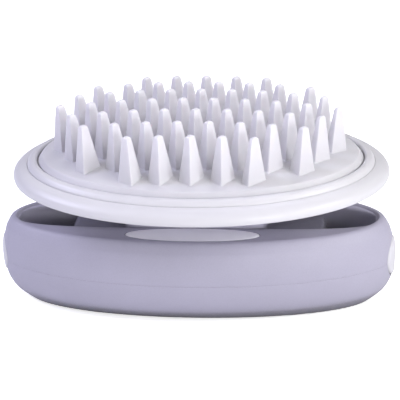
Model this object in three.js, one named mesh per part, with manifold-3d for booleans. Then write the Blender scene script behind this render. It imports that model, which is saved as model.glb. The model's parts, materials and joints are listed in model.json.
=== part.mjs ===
// Palm-size vibrating scalp massager brush, bristles up, resting on the flat of its handle.
// Millimetres, +Z up. Origin: centre of the flat resting face.
// X is the long axis with the push button at +X; the front is -Y.
import * as THREE from "three";
import { mergeVertices } from "three/addons/utils/BufferGeometryUtils.js";
import Module from "manifold-3d";

const wasm = await Module();
wasm.setup();

// ---------------------------------------------------------------- driving dimensions
// every oval of the handle keeps the same difference between half-length and half-depth
const HANDLE_HALF_X = 48.4;
const HANDLE_HALF_Y = 19.6;
const HANDLE_STRETCH = HANDLE_HALF_X - HANDLE_HALF_Y;
const RIM_Z = 21.65; // top of the rounded rim
const SHELF_Z = 21.1; // flat shelf inside the rim
const CEILING_Z = 19.4; // underside of the shelf
const PART_Z = 11.3; // parting plane of the two handle shells
const PART_GAP = 0.2;
const TOP_LOW_Z = PART_Z + PART_GAP / 2;
const BASE_HIGH_Z = PART_Z - PART_GAP / 2;

// neck between handle and head
const NECK_HALF_X = 17.3;
const NECK_HALF_Y = 6.5;
const NECK_TOP_Z = 32.4;

// the ovals of the head keep a stretch of their own
const HEAD_X = 1.4; // shift of the head towards the button end
const HEAD_STRETCH = 13.8;
const HEAD_FLOOR_Z = 33.2;

// round button at +X and round inlay at -X
const BUTTON_Z = 11.7;
const BUTTON_R = 4.75;
const BUTTON_HOLE_R = 5.0;
const BUTTON_PROUD = 0.3;

// oval inlay on the front shelf
const INLAY_Y = -10.6;
const INLAY_HALF_X = 16.3;
const INLAY_HALF_Y = 3.75;
const INLAY_SEG = 40;

// battery bay, two cells side by side
const CELL_R = 5.2;
const CELL_Y = 5.5;
const CELL_Z = 7.8;
const COVER_HALF_X = 32.3;
const COVER_HALF_Y = 12.1;
const COVER_TOP_Z = 1.6;
const BAY_HALF_X = 25.2;
const BAY_HALF_Y = 11.0;

// motor, lying along X inside the neck
const MOTOR_Z = 25.4;
const MOTOR_R = 3.4;

// fasteners: [x, y] places
const ends = (x) => [[-x, 0], [x, 0]];
const corners = (x, y) => [[-x, -y], [-x, y], [x, -y], [x, y]];
const HANDLE_SCREWS = corners(34.8, 5.4);
const COVER_SCREWS = ends(28.9);
const NECK_SCREWS = ends(14.3);
const CARRIER_SCREWS = corners(24, 10); // in the frame of the head
const SHANK_R = 0.82;
const PILOT_R = 0.95;
const NECK_CLEARANCE_R = 1.1;
const HANDLE_BOSS_R = 2.3;

// ---------------------------------------------------------------- solids
// three.js geometry -> manifold solid, turned the right way out
function solid(geometry) {
  for (const key of Object.keys(geometry.attributes)) {
    if (key !== "position") geometry.deleteAttribute(key);
  }
  const merged = mergeVertices(geometry, 1e-4);
  const index = merged.index.array;
  const triangles = [];
  for (let i = 0; i < index.length; i += 3) {
    const [a, b, c] = index.subarray(i, i + 3);
    if (a !== b && b !== c && a !== c) triangles.push([a, b, c]);
  }
  const make = (list) =>
    new wasm.Manifold(
      new wasm.Mesh({
        numProp: 3,
        vertProperties: new Float32Array(merged.attributes.position.array),
        triVerts: new Uint32Array(list.flat()),
      }),
    );
  const result = make(triangles);
  return result.volume() < 0 ? make(triangles.map(([a, b, c]) => [a, c, b])) : result;
}

function geometryOf(part) {
  const mesh = part.getMesh();
  const geometry = new THREE.BufferGeometry();
  const positions = new Float32Array(mesh.vertProperties);
  geometry.setAttribute("position", new THREE.BufferAttribute(positions, 3));
  geometry.setIndex(new THREE.BufferAttribute(new Uint32Array(mesh.triVerts), 1));
  geometry.computeVertexNormals();
  return geometry;
}

// Turned solid whose rings [half-length, half-depth, z] are superellipses of exponent n.
// closed joins the last ring to the first; bend gives each point another y.
function ovalLathe(rings, { seg = 36, n = 2, closed = false, bend = (x, y) => y } = {}) {
  const list = closed ? [...rings, rings[0]] : rings;
  const outline = list.map(([halfX], i) => new THREE.Vector2(halfX === 0 ? 0 : 1, i));
  const geometry = new THREE.LatheGeometry(outline, seg);
  const position = geometry.attributes.position;
  const snap = (value) => (Math.abs(value) < 1e-9 ? 0 : value);
  const shaped = (value) => Math.sign(value) * Math.pow(Math.abs(value), 2 / n);
  for (let k = 0; k <= seg; k++) {
    const angle = (2 * Math.PI * (k % seg)) / seg;
    const unitX = shaped(snap(Math.cos(angle)));
    const unitY = shaped(snap(Math.sin(angle)));
    list.forEach(([halfX, halfY, z], i) => {
      const x = halfX * unitX;
      position.setXYZ(k * list.length + i, x, bend(x, halfY * unitY), z);
    });
  }
  return solid(geometry);
}

const pole = (z) => [0, 0, z];

// [half-depth, z] tables -> rings with a fixed stretch
const stretched = (stretch) => (table) => table.map(([b, z]) => [b + stretch, b, z]);
const handleRings = stretched(HANDLE_STRETCH);
const headRings = stretched(HEAD_STRETCH);

// flat oval plate
const ovalPlate = (halfX, halfY, z0, z1, options) =>
  ovalLathe([pole(z0), [halfX, halfY, z0], [halfX, halfY, z1], pole(z1)], options);

function box(x0, x1, y0, y1, z0, z1) {
  const geometry = new THREE.BoxGeometry(x1 - x0, y1 - y0, z1 - z0);
  geometry.translate((x0 + x1) / 2, (y0 + y1) / 2, (z0 + z1) / 2);
  return solid(geometry);
}

function cylZ(x, y, radius, z0, z1, seg = 16) {
  const geometry = new THREE.CylinderGeometry(radius, radius, z1 - z0, seg);
  geometry.rotateX(Math.PI / 2);
  geometry.translate(x, y, (z0 + z1) / 2);
  return solid(geometry);
}

function cylX(y, z, radius, x0, x1, seg = 24) {
  const geometry = new THREE.CylinderGeometry(radius, radius, x1 - x0, seg);
  geometry.rotateZ(-Math.PI / 2);
  geometry.translate((x0 + x1) / 2, y, z);
  return solid(geometry);
}

// rounded rectangle in plan, from z0 to z1
function slab(halfX, halfY, radius, z0, z1, curveSegments = 4) {
  const shape = new THREE.Shape();
  const x = halfX - radius;
  const y = halfY - radius;
  const quarter = Math.PI / 2;
  [[x, y], [-x, y], [-x, -y], [x, -y]].forEach(([cx, cy], i) =>
    shape.absarc(cx, cy, radius, i * quarter, (i + 1) * quarter),
  );
  shape.closePath();
  const geometry = new THREE.ExtrudeGeometry(shape, {
    depth: z1 - z0,
    bevelEnabled: false,
    curveSegments,
  });
  geometry.translate(0, 0, z0);
  return solid(geometry);
}

// round wire with five sides swept along a curve
function tube(curve, radius, steps) {
  const sides = 5;
  const points = Array.from({ length: sides }, (_, i) => {
    const angle = (2 * Math.PI * i) / sides;
    return new THREE.Vector2(radius * Math.cos(angle), radius * Math.sin(angle));
  });
  const shape = new THREE.Shape(points);
  shape.closePath();
  return solid(
    new THREE.ExtrudeGeometry(shape, {
      steps,
      bevelEnabled: false,
      extrudePath: curve,
      curveSegments: 1,
    }),
  );
}

const union = (...parts) => parts.reduce((a, b) => a.add(b));
const cut = (part, ...tools) => tools.reduce((a, b) => a.subtract(b), part);

// one upright cylinder at each place, added or cut away
const pillars = (places, size) => places.map(([x, y]) => cylZ(x, y, ...size));
const addPosts = (part, places, ...size) => union(part, ...pillars(places, size));
const drill = (part, places, ...size) => cut(part, ...pillars(places, size));

// an x range on the +X side, mirrored for side -1
const sideSpan = (side, x0, x1) => (side > 0 ? [x0, x1] : [-x1, -x0]);

// ---------------------------------------------------------------- materials
const material = (name, color, { roughness, metalness = 0 }) =>
  new THREE.MeshStandardMaterial({ name, color, roughness, metalness });
const materials = {
  silicone: material("white_silicone", 0xf3f1f8, { roughness: 0.45 }),
  white: material("white_plastic", 0xefedf4, { roughness: 0.35 }),
  softTouch: material("lavender_grey_soft_touch", 0xb9b6cc, { roughness: 0.55 }),
  button: material("white_button", 0xf2f0f7, { roughness: 0.3 }),
  inlay: material("white_inlay", 0xe9e7ee, { roughness: 0.3 }),
  seal: material("grey_seal", 0x6f6d78, { roughness: 0.7 }),
  steel: material("steel", 0xb8bac0, { roughness: 0.35, metalness: 1 }),
  brass: material("brass", 0xc9a45a, { roughness: 0.35, metalness: 1 }),
  tungsten: material("sintered_weight", 0x77797f, { roughness: 0.5, metalness: 1 }),
  board: material("circuit_board", 0x2f6b46, { roughness: 0.5 }),
  black: material("black_plastic", 0x26262a, { roughness: 0.5 }),
  tray: material("inner_plastic", 0xd9d8dd, { roughness: 0.5 }),
  cell: material("cell_sleeve", 0x5d7fa8, { roughness: 0.35, metalness: 0.3 }),
  red: material("red_wire", 0xb03a3a, { roughness: 0.5 }),
  dark: material("dark_wire", 0x2a2a2e, { roughness: 0.5 }),
};

const group = new THREE.Group();
group.name = "scalp_massager_brush";
function add(name, part, look, parent = group) {
  const mesh = new THREE.Mesh(geometryOf(part), look);
  mesh.name = name;
  parent.add(mesh);
}

// ---------------------------------------------------------------- screws
// cross-slotted screw; the head's outer face is at headZ and the shank ends at tipZ
function screw(x, y, { headZ, tipZ, headR, headH }) {
  const inward = Math.sign(tipZ - headZ);
  const span = (from, to) => [Math.min(from, to), Math.max(from, to)];
  const head = cylZ(x, y, headR, ...span(headZ, headZ + inward * headH), 12);
  const shank = cylZ(x, y, SHANK_R, ...span(headZ + inward * (headH - 0.1), tipZ), 8);
  const slotSpan = span(headZ - inward, headZ + inward * headH * 0.55);
  const slot = (halfX, halfY) => box(x - halfX, x + halfX, y - halfY, y + halfY, ...slotSpan);
  const slotHalf = headR * 0.62;
  return cut(union(head, shank), slot(slotHalf, 0.22), slot(0.22, slotHalf));
}

function addScrews(name, places, size, parent) {
  places.forEach(([x, y], i) =>
    add(`${name}_${i + 1}`, screw(x, y, size), materials.steel, parent),
  );
}

// ---------------------------------------------------------------- handle outer form
// [half-depth, z]: flat foot, rounded bowl, upright wall, rounded rim
const HANDLE_PROFILE = [
  [13.2, 0], [14.7, 1.2], [16.1, 2.4], [17.2, 3.5],
  [18.1, 4.9], [18.85, 6.6], [19.4, 9.0], [HANDLE_HALF_Y, 12.0],
  [19.45, 15.0], [18.7, 18.4], [18.1, 19.8], [17.4, 21.0],
  [16.8, 21.5], [16.1, RIM_Z], [15.75, 21.45], [15.5, SHELF_Z],
];
const FORM_TOP_Z = 21.0;
const BELOW_Z = -1; // level under the foot from which cutting tools start

// outer wall at a level, as [half-depth, z]
function wallAt(z) {
  const upper = HANDLE_PROFILE.findIndex(([, level]) => z <= level);
  const [b0, z0] = HANDLE_PROFILE[upper - 1];
  const [b1, z1] = HANDLE_PROFILE[upper];
  return [b0 + ((b1 - b0) * (z - z0)) / (z1 - z0), z];
}

// the outer form grown by a margin, for cutting conformal pieces
function handleForm(margin) {
  const levels = HANDLE_PROFILE.filter(([, z]) => z <= FORM_TOP_Z);
  const grown = levels.map(([b, z]) => [b + margin, z === 0 ? BELOW_Z : z]);
  return ovalLathe([pole(BELOW_Z), ...handleRings(grown), pole(FORM_TOP_Z)]);
}

// rod along X through one end wall
const endRod = (side, radius) => cylX(0, BUTTON_Z, radius, ...sideSpan(side, 44.4, 52));
const buttonHoles = union(endRod(1, BUTTON_HOLE_R), endRod(-1, BUTTON_HOLE_R));

// ---------------------------------------------------------------- finger pockets
const POCKET_HALF_X = 44.3;
const POCKET_HALF_Y = 6.6;
const POCKET_STEP_X = 31.3; // shallow inboard of this, deep outboard
const POCKET_SHALLOW_Z = 17.5;
const POCKET_DEEP_Z = 15.0;
const POCKET_WALL = 1.3;
const POCKET_WALL_TOP_Z = 20.2; // the walls end inside the shelf
const POCKET_CUT_TOP_Z = 22.5; // the hollows run out above the rim
const POCKET_SEG = 28;

// on the rear (+Y) side the pockets widen in y, from the neck outwards, fading at the ends
function widen(x, y) {
  if (y <= 0) return y;
  const t = Math.min(1, Math.max(0, (Math.abs(x) - NECK_HALF_X) / 9));
  const fade = 1 - Math.min(1, Math.abs(x) / 43) ** 7.3;
  return y * (1 + 0.5 * t * t * (3 - 2 * t) * fade);
}

// Both forms run the whole length of the handle; grow 0 gives the hollow itself,
// grow POCKET_WALL the outside of its wall.
function pocketShallow(grow) {
  const topZ = grow > 0 ? POCKET_WALL_TOP_Z : POCKET_CUT_TOP_Z;
  const floorZ = POCKET_SHALLOW_Z - grow;
  return ovalLathe(
    [
      pole(floorZ),
      [42.0 + grow, POCKET_HALF_Y - 0.5 + grow, floorZ],
      [POCKET_HALF_X + grow, POCKET_HALF_Y + grow, 19.6],
      [POCKET_HALF_X + grow, POCKET_HALF_Y + grow, topZ],
      pole(topZ),
    ],
    { seg: POCKET_SEG, n: 3.5, bend: widen },
  );
}

function pocketDeep(grow) {
  const mouthFlare = 0.35;
  const mouth = [
    [POCKET_HALF_X, POCKET_HALF_Y, 20.8],
    [POCKET_HALF_X + mouthFlare, POCKET_HALF_Y + mouthFlare, 21.3],
    [POCKET_HALF_X + mouthFlare, POCKET_HALF_Y + mouthFlare, POCKET_CUT_TOP_Z],
  ];
  return ovalLathe(
    [
      pole(POCKET_DEEP_Z - grow),
      [37.0 + grow, 6.4 + grow, POCKET_DEEP_Z - grow],
      [39.6 + grow, 7.4 + grow, 16.2],
      [42.2 + grow, 7.9 + grow, 18.2],
      [43.9 + grow, 7.5 + grow, 19.9],
      ...(grow > 0 ? [] : mouth),
      pole(grow > 0 ? POCKET_WALL_TOP_Z : POCKET_CUT_TOP_Z),
    ],
    { seg: POCKET_SEG, n: 3.0, bend: widen },
  );
}

// the parts of the two forms on one side; shallowSpan and deepStart are distances from the centre
function pocketParts(side, grow, shallowSpan, deepStart) {
  const window = (x0, x1) => box(...sideSpan(side, x0, x1), -15, 15, 10, 25);
  return [
    pocketShallow(grow).intersect(window(...shallowSpan)),
    pocketDeep(grow).intersect(window(deepStart, 60)),
  ];
}

// ---------------------------------------------------------------- handle top shell
function handleTop() {
  let top = ovalLathe(
    [
      ...handleRings([wallAt(TOP_LOW_Z), ...HANDLE_PROFILE.filter(([, z]) => z > PART_Z)]),
      pole(SHELF_Z),
      pole(CEILING_Z),
      // inner wall, downwards
      ...handleRings([
        [15.3, CEILING_Z], [16.4, 18.9], [17.0, 17.8], [17.6, 15.0], [17.8, TOP_LOW_Z],
      ]),
    ],
    { closed: true },
  );
  const wallSpan = [NECK_HALF_X - POCKET_WALL, POCKET_STEP_X + 0.2];
  for (const side of [1, -1]) {
    const walls = pocketParts(side, POCKET_WALL, wallSpan, POCKET_STEP_X - POCKET_WALL);
    top = union(top, ...walls);
  }
  // neck column
  top = union(top, slab(NECK_HALF_X, NECK_HALF_Y, 2.4, CEILING_Z + 0.4, NECK_TOP_Z));
  for (const side of [1, -1]) {
    top = cut(top, ...pocketParts(side, 0, [NECK_HALF_X, POCKET_STEP_X + 0.01], POCKET_STEP_X));
  }
  // motor chamber in the neck, open downward into the handle
  top = cut(top, slab(11.4, 4.15, 0.8, 18.5, 30.8, 3));
  top = addPosts(top, HANDLE_SCREWS, HANDLE_BOSS_R, TOP_LOW_Z, 14.4);
  top = drill(top, HANDLE_SCREWS, PILOT_R, 10, 14.2, 12);
  top = drill(top, NECK_SCREWS, PILOT_R, 24.5, 34, 12);
  const gap = 0.15; // round the oval inlay
  const seat = ovalPlate(INLAY_HALF_X + gap, INLAY_HALF_Y + gap, 20.3, 23, { seg: INLAY_SEG });
  return cut(top, seat.translate([0, INLAY_Y, 0]), buttonHoles);
}
add("handle_top", handleTop(), materials.softTouch);

// ---------------------------------------------------------------- handle base shell
const coverOutline = (margin, z0, z1) =>
  ovalPlate(COVER_HALF_X + margin, COVER_HALF_Y + margin, z0, z1, { n: 4 });

function handleBase() {
  let base = ovalLathe([
    pole(0),
    ...handleRings([
      ...HANDLE_PROFILE.filter(([, z]) => z < PART_Z),
      wallAt(BASE_HIGH_Z),
      // inner wall, downwards
      [17.8, BASE_HIGH_Z], [17.55, 9.0], [17.05, 6.6], [16.2, 4.7], [15.0, 3.3], [13.4, 2.0],
    ]),
    pole(2.0),
  ]);
  // thicker floor round the battery bay
  base = union(base, ovalPlate(34.4, 13.4, 1.4, 3.7, { n: 4 }).intersect(handleForm(-0.4)));
  base = addPosts(base, HANDLE_SCREWS, HANDLE_BOSS_R, 1.5, BASE_HIGH_Z);
  base = addPosts(base, COVER_SCREWS, 2.2, 1.5, 8.2);
  base = cut(
    base,
    coverOutline(0.2, BELOW_Z, 2.25),
    box(-BAY_HALF_X, BAY_HALF_X, -BAY_HALF_Y, BAY_HALF_Y, BELOW_Z, 5),
  );
  base = drill(base, HANDLE_SCREWS, 1.0, BELOW_Z, 13, 12);
  base = drill(base, HANDLE_SCREWS, 2.05, BELOW_Z, 2.2);
  base = drill(base, COVER_SCREWS, PILOT_R, BELOW_Z, 7.4, 12);
  return cut(base, buttonHoles);
}
add("handle_base", handleBase(), materials.softTouch);

// thin cord between the two shells, just inside the outer wall, interrupted at the button
function handleSeal() {
  const section = [[16.75, 10.7], [17.5, 10.7], [17.5, 11.9], [16.75, 11.9]];
  return cut(ovalLathe(handleRings(section), { closed: true }), box(43.4, 50, -7, 7, 5, 20));
}
add("handle_seal", handleSeal(), materials.seal);

// ---------------------------------------------------------------- inlays and button
function shelfInlay() {
  const lowZ = 20.4;
  const edgeZ = 21.15;
  const crown = 0.2;
  const inset = 0.35;
  return ovalLathe(
    [
      pole(lowZ),
      [INLAY_HALF_X, INLAY_HALF_Y, lowZ],
      [INLAY_HALF_X, INLAY_HALF_Y, edgeZ],
      [INLAY_HALF_X - inset, INLAY_HALF_Y - inset, edgeZ + crown * 0.6],
      pole(edgeZ + crown),
    ],
    { seg: INLAY_SEG },
  ).translate([0, INLAY_Y, 0]);
}
add("shelf_inlay", shelfInlay(), materials.inlay);

// skin that follows the handle wall, from which both round caps are cut
const capSkin = handleForm(BUTTON_PROUD).subtract(handleForm(-1.5));
const roundCap = (side) => capSkin.intersect(endRod(side, BUTTON_R));
add("end_inlay", roundCap(-1), materials.button);

function powerButton() {
  return union(
    roundCap(1),
    cylX(0, BUTTON_Z, 1.5, 44.0, 47.4, 16),
    box(44.6, 45.2, -2.2, 2.2, BUTTON_Z - 5.5, BUTTON_Z + 5.5),
    cylX(0, BUTTON_Z, 2.8, 45.0, 46.9, 20),
  );
}
add("power_button", powerButton(), materials.button);
add(
  "button_membrane",
  cut(cylX(0, BUTTON_Z, 4.2, 43.1, 43.6, 20), cylX(0, BUTTON_Z, 1.9, 43, 44, 16)),
  materials.seal,
);

// ---------------------------------------------------------------- switch and circuit board
add("circuit_board", box(39.4, 40.5, -6.0, 6.0, 4.7, 12.9), materials.board);

function tactSwitch() {
  const body = box(40.6, 42.4, -2.4, 2.4, BUTTON_Z - 1.8, BUTTON_Z + 1.8);
  return union(body, cylX(0, BUTTON_Z, 1.0, 42.3, 43.0, 12));
}
add("tact_switch", tactSwitch(), materials.black);

addScrews("handle_screw", HANDLE_SCREWS, { headZ: 0.75, tipZ: 13.9, headR: 1.8, headH: 1.35 });

// ---------------------------------------------------------------- battery cover
function batteryCover() {
  let cover = coverOutline(0, 0, COVER_TOP_Z).intersect(handleForm(-0.05));
  cover = drill(cover, COVER_SCREWS, 1.05, BELOW_Z, 3, 12);
  cover = drill(cover, COVER_SCREWS, 2.1, BELOW_Z, 1.0);
  // low rib under each cell
  const rib = (y) => box(-15, 15, y - 0.5, y + 0.5, COVER_TOP_Z - 0.1, 2.35);
  return union(cover, rib(-CELL_Y), rib(CELL_Y));
}
add("battery_cover", batteryCover(), materials.softTouch);

function batteryCoverSeal() {
  const inner = [COVER_HALF_X - 1.3, COVER_HALF_Y - 0.85];
  const outer = [COVER_HALF_X - 0.45, COVER_HALF_Y - 0.2];
  const lowZ = 1.65;
  const highZ = 2.2;
  return ovalLathe(
    [[...inner, lowZ], [...outer, lowZ], [...outer, highZ], [...inner, highZ]],
    { n: 4, closed: true },
  );
}
add("battery_cover_seal", batteryCoverSeal(), materials.seal);
addScrews("battery_cover_screw", COVER_SCREWS, {
  headZ: 0.12,
  tipZ: 7.0,
  headR: 1.85,
  headH: 0.85,
});

// ---------------------------------------------------------------- batteries and contacts
const LEAD_Z = 10.4; // battery leads leave the tray at this level

// tray open downward, with a lead hole behind each cell at the +X end
function batteryTray() {
  return cut(
    box(-26.2, 26.2, -11.9, 11.9, 3.95, 14.4),
    box(-24.6, 24.6, -10.95, 10.95, 3, 13.2),
    ...[-CELL_Y, CELL_Y].map((y) => cylX(y, LEAD_Z, 0.7, 24, 27, 10)),
  );
}
add("battery_tray", batteryTray(), materials.tray);

// cell with its nub towards +X (side 1) or -X (side -1)
function battery(y, side) {
  const body = cylX(y, CELL_Z, CELL_R, ...sideSpan(side, -22.3, 21.3), 28);
  return union(body, cylX(y, CELL_Z, 1.9, ...sideSpan(side, 21.2, 22.2), 16));
}
add("battery_1", battery(-CELL_Y, 1), materials.cell);
add("battery_2", battery(CELL_Y, -1), materials.cell);

// conical helix along X, narrowing away from its end plate
class SpringPath extends THREE.Curve {
  constructor(side) {
    super();
    this.side = side;
  }
  getPoint(t, target = new THREE.Vector3()) {
    const turns = 2.2;
    const angle = 2 * Math.PI * turns * t;
    const radius = 3.4 + (1.7 - 3.4) * t;
    return target.set(
      this.side * (23.75 + (22.6 - 23.75) * t),
      this.side * CELL_Y + radius * Math.cos(angle),
      CELL_Z + radius * Math.sin(angle),
    );
  }
}
add("contact_spring_1", tube(new SpringPath(-1), 0.19, 24), materials.steel);
add("contact_spring_2", tube(new SpringPath(1), 0.19, 24), materials.steel);

// upright plate at one end of the tray, and the stud that meets a nub there
const contactPlate = (side, y0, y1) => box(...sideSpan(side, 24.05, 24.5), y0, y1, 4.6, 11.2);
const contactStud = (side) =>
  cylX(-side * CELL_Y, CELL_Z, 1.6, ...sideSpan(side, 22.35, 24.2), 12);
add("contact_plate_bridge", union(contactPlate(-1, -9.5, 9.5), contactStud(-1)), materials.brass);
add("contact_plate_positive", union(contactPlate(1, -8.7, -2.3), contactStud(1)), materials.brass);
add("contact_plate_negative", contactPlate(1, 2.3, 8.7), materials.brass);

// ---------------------------------------------------------------- motor in the neck
const motorRod = (radius, x0, x1, seg) => cylX(0, MOTOR_Z, radius, x0, x1, seg);

add(
  "motor_can",
  cut(
    union(motorRod(MOTOR_R, -9.4, 2.4), motorRod(1.2, 2.3, 3.0, 16)),
    motorRod(0.7, 1.0, 4, 12),
  ),
  materials.steel,
);
add("motor_shaft", motorRod(0.5, 1.3, 9.2, 12), materials.steel);
// disc with its upper part cut off and a bore for the shaft
add(
  "eccentric_weight",
  cut(
    motorRod(3.3, 4.4, 8.4),
    box(4, 9, -4, 4, MOTOR_Z + 0.9, MOTOR_Z + 5),
    motorRod(0.56, 4, 9, 12),
  ),
  materials.tungsten,
);
add(
  "motor_sleeve",
  cut(motorRod(3.95, -8.6, 0.2), motorRod(MOTOR_R + 0.1, -9, 1)),
  materials.seal,
);
add(
  "motor_cradle",
  cut(box(-9.2, 0.8, -3.95, 3.95, 19.7, 24.6), motorRod(4.1, -10, 1)),
  materials.tray,
);

// ---------------------------------------------------------------- lead wires
// routes: [x, share of the starting y, z]
const MOTOR_ROUTE = [
  [-9.75, 1, 25.4], [-10.5, 1, 24.4], [-10.6, 1, 20.5], [-9.4, 1, 16.6],
  [-6.5, 1, 15.35], [10, 1.6, 15.3], [25.4, 2.6, 15.2], [27.3, 2.7, 14.2],
  [28.6, 2.7, 12.4], [33, 2.0, 12.2], [38.9, 1.6, 11.6],
];
const BATTERY_ROUTE = [
  [24.8, 1, LEAD_Z], [27.2, 1, LEAD_Z], [29.6, 0.62, 10.0], [34, 0.35, 9.0], [38.9, 0.4, 8.6],
];

function lead(route, startY, steps) {
  const points = route.map(([x, share, z]) => new THREE.Vector3(x, startY * share, z));
  return tube(new THREE.CatmullRomCurve3(points, false, "centripetal"), 0.33, steps);
}

function addLeads(name, route, startY, steps) {
  add(`${name}_1`, lead(route, -startY, steps), materials.red);
  add(`${name}_2`, lead(route, startY, steps), materials.dark);
}
addLeads("motor_lead", MOTOR_ROUTE, 1.3, 28);
addLeads("battery_lead", BATTERY_ROUTE, CELL_Y, 12);

// ---------------------------------------------------------------- head shell and neck joint
const head = new THREE.Group();
head.name = "head";
head.position.x = HEAD_X;
group.add(head);

// flared skirt, ledge, seat for the bezel and a floor that closes the head from below
function headShell() {
  let shell = ovalLathe([
    pole(HEAD_FLOOR_Z),
    ...headRings([
      [29.3, HEAD_FLOOR_Z], [30.2, 32.55], [31.5, 32.4], [32.0, 32.75], [32.1, 33.4],
      [32.0, 34.2], [31.5, 34.9], [30.6, 35.5], [29.4, 36.0], [28.85, 36.1],
      [28.75, 35.4], [21.0, 35.4], [20.8, 34.6],
    ]),
    pole(34.6),
  ]);
  shell = addPosts(shell, CARRIER_SCREWS, 2.2, 34.4, 35.65, 12);
  shell = drill(shell, CARRIER_SCREWS, PILOT_R, 34.0, 38, 12);
  const neckScrews = NECK_SCREWS.map(([x, y]) => [x - HEAD_X, y]);
  return drill(shell, neckScrews, NECK_CLEARANCE_R, 32, 36, 12);
}
add("head_shell", headShell(), materials.white, head);

// gasket between neck and head floor
function neckGasket() {
  const inset = 0.1;
  const gasket = slab(
    NECK_HALF_X - inset,
    NECK_HALF_Y - inset,
    2.3,
    NECK_TOP_Z + inset,
    HEAD_FLOOR_Z - inset,
  );
  return drill(gasket, NECK_SCREWS, NECK_CLEARANCE_R, 32, 36, 12);
}
add("neck_gasket", neckGasket(), materials.seal);

// clamping plate inside the head, screwed down into the neck
const platBlank = slab(18.5, 7.2, 2.0, 34.7, 35.6, 3);
add(
  "neck_plate",
  drill(platBlank, NECK_SCREWS, NECK_CLEARANCE_R, 32, 37, 12),
  materials.steel,
);
addScrews("neck_screw", NECK_SCREWS, { headZ: 36.45, tipZ: 25.5, headR: 1.9, headH: 0.8 });

// ---------------------------------------------------------------- pad carrier and bezel
// rings of a shallow paraboloid, from the lip inwards, stopping short of the apex
function dome(lipHalfY, apexZ, crown, count) {
  const rings = [];
  for (let i = count; i >= 1; i--) {
    const q = i / count;
    rings.push([(lipHalfY + HEAD_STRETCH) * q, lipHalfY * q, apexZ - crown * q * q]);
  }
  return rings;
}

// domed plate that the pad is stretched over
function padCarrier() {
  let carrier = ovalLathe([
    pole(37.2),
    ...dome(21.5, 37.2, 1.55, 2).reverse(),
    ...headRings([[21.6, 35.5], [23.2, 35.5]]),
    ...dome(23.2, 39.0, 2.15, 3),
    pole(39.0),
  ]);
  carrier = addPosts(carrier, CARRIER_SCREWS, 3.0, 35.95, 37.4);
  carrier = drill(carrier, CARRIER_SCREWS, 1.05, 35, 40, 12);
  return drill(carrier, CARRIER_SCREWS, 2.1, 36.8, 40);
}
add("pad_carrier", padCarrier(), materials.white, head);
const CARRIER_SCREW_SIZE = { headZ: 37.6, tipZ: 34.2, headR: 1.9, headH: 0.75 };
addScrews("carrier_screw", CARRIER_SCREWS, CARRIER_SCREW_SIZE, head);

// section of the rounded ring that holds down the rim of the pad: [half-depth, z]
const BEZEL_SECTION = [
  [26.15, 36.35], [27.75, 36.35], [27.75, 35.5], [28.55, 35.5], [28.6, 36.25],
  [28.3, 36.75], [27.85, 37.3], [27.2, 37.5], [26.5, 37.45], [26.15, 37.2],
];
const bezel = ovalLathe(headRings(BEZEL_SECTION), { closed: true });
add("bezel_ring", bezel, materials.white, head);

// ---------------------------------------------------------------- bristle pad
const PAD_LIP_HALF_Y = 24.5; // where the domed top of the pad turns down
const PAD_SIDE_HALF_Y = 25.8;
const PAD_TOP_Z = 41.3;
const PAD_CROWN = 2.9; // height of the dome over its lip

// bristles: a staggered field of leaning four-sided wedges
const BRISTLE_PITCH = 7.5;
const ROW_PITCH = 6.6;
const ROW_COUNTS = [5, 8, 9, 10, 9, 8, 5]; // front to back
const BRISTLE_LEN = 11.1;
// turn: degrees from the long axis; width runs along the turned axis and depth across it,
// both at the root
const BRISTLE = { turn: 45, width: 4.9, depth: 3.65 };
const THIN_BRISTLE = { ...BRISTLE, depth: 2.7 };
const THIN_FROM_X = 28; // bristles towards +X from here are thin
const FRONT_ROW = [
  { turn: 60, width: 4.2, depth: 4.1 },
  { turn: 55, width: 5.1, depth: 3.8 },
  { turn: 54, width: 5.1, depth: 3.8 },
  { turn: 52, width: 4.8, depth: 3.7 },
  { turn: 42, width: 5.3, depth: 2.7 },
];
// the roots stand closer together than the tips
const ROOT_SHARE_X = 0.975;
const ROOT_SHARE_Y = 0.97;
// [share of the length, share of the width, share of the depth]
const BRISTLE_LEVELS = [
  [-0.07, 1.04, 1.03],
  [0.94, 0.42, 0.42],
  [1.0, 0.24, 0.24],
];

function padZ(x, y) {
  const lipHalfX = PAD_LIP_HALF_Y + HEAD_STRETCH;
  return PAD_TOP_Z - PAD_CROWN * ((x / lipHalfX) ** 2 + (y / PAD_LIP_HALF_Y) ** 2);
}

// one bristle, its tip at (tipX, tipY) in plan
function bristle(tipX, tipY, { turn, width, depth }) {
  const rootX = tipX * ROOT_SHARE_X;
  const rootY = tipY * ROOT_SHARE_Y;
  const rootZ = padZ(rootX, rootY);
  const dx = tipX - rootX;
  const dy = tipY - rootY;
  const dz = Math.sqrt(BRISTLE_LEN ** 2 - dx * dx - dy * dy);
  const angle = THREE.MathUtils.degToRad(turn);
  const cos = Math.cos(angle);
  const sin = Math.sin(angle);
  // a square prism with three levels; -1, 0 or 1 tells corner and cap-centre points apart
  const geometry = new THREE.CylinderGeometry(1, 1, 2, 4, 2);
  geometry.rotateY(Math.PI / 4);
  const cornerSign = (value) => Math.sign(Math.round(value * 10));
  const position = geometry.attributes.position;
  for (let i = 0; i < position.count; i++) {
    const level = Math.round(position.getY(i)) + 1;
    const [share, widthShare, depthShare] = BRISTLE_LEVELS[level];
    const along = (cornerSign(position.getX(i)) * width * widthShare) / 2;
    const across = (cornerSign(position.getZ(i)) * depth * depthShare) / 2;
    position.setXYZ(
      i,
      rootX + dx * share + along * cos - across * sin,
      rootY + dy * share + along * sin + across * cos,
      rootZ + dz * share,
    );
  }
  return solid(geometry);
}

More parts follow.
